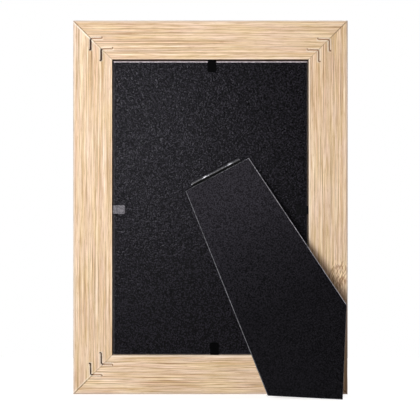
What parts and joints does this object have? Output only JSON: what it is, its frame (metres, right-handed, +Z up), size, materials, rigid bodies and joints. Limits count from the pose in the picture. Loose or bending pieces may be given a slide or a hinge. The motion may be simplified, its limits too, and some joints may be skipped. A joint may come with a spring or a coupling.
{
  "type": "easel back photo frame",
  "caption": "Wooden picture frame with rabbeted, nailed mitres, a glass pane, a black covered backing held by bending tabs, and a slanted easel leg that folds on a pinned hinge.",
  "frame": {"origin": "on the table, midway between the foremost edge of the leaning frame and the far corner of the leg's foot, on the frame's centre line", "axes": "+Z up, +Y out of the back, so the picture faces -Y and leans back, +X to the left as seen from behind"},
  "size_m": [0.144, 0.0676, 0.1954],
  "materials": {
    "oak": "bare, fine straight grain",
    "nail_steel": "dull",
    "glass": "clear",
    "insert_paper": "matte",
    "lining_paper": "matte",
    "grey_board": "raw cut",
    "black_cover": "pebbled matte",
    "black_steel": "satin",
    "pin_steel": "satin",
    "tab_steel": "satin"
  },
  "bodies": {
    "frame": {"rail_top": "oak", "rail_left": "oak", "rail_bottom": "oak", "rail_right": "oak", "corner_v_nails": "nail_steel", "glass_pane": "glass", "photo_insert": "insert_paper", "backing_lining": "lining_paper", "backing_board": "grey_board", "backing_cover": "black_cover", "hinge_board_leaf": "black_steel", "hinge_pin": "pin_steel", "hinge_rivets": "pin_steel", "tab_roots": "tab_steel"},
    "leg": {"leg_board": "grey_board", "leg_cover": "black_cover", "leg_lining": "lining_paper", "hinge_leg_leaf": "black_steel"},
    "top_tab": {"tab_top": "tab_steel"},
    "left_tab": {"tab_left": "tab_steel"},
    "bottom_tab": {"tab_bottom": "tab_steel"},
    "right_tab": {"tab_right": "tab_steel"}
  },
  "joints": [
    {"name": "leg_fold", "type": "hinge", "parent": "frame", "child": "leg", "pos_m": [-0.00265, 0.00071, 0.11459], "axis": [-0.887, 0.0802, 0.4547], "range_deg": [0, 21.5]},
    {"name": "top_tab_bend", "type": "hinge", "parent": "frame", "child": "top_tab", "pos_m": [-0.0008, 0.00978, 0.17262], "axis": [1, 0, 0], "range_deg": [0, 90]},
    {"name": "left_tab_bend", "type": "hinge", "parent": "frame", "child": "left_tab", "pos_m": [0.05115, -0.00381, 0.09556], "axis": [0, -0.1736, -0.9848], "range_deg": [0, 90]},
    {"name": "bottom_tab_bend", "type": "hinge", "parent": "frame", "child": "bottom_tab", "pos_m": [-0.0021, -0.01702, 0.02067], "axis": [-1, 0, 0], "range_deg": [0, 90]},
    {"name": "right_tab_bend", "type": "hinge", "parent": "frame", "child": "right_tab", "pos_m": [-0.05115, -0.00386, 0.09527], "axis": [0, 0.1736, 0.9848], "range_deg": [0, 90]}
  ]
}
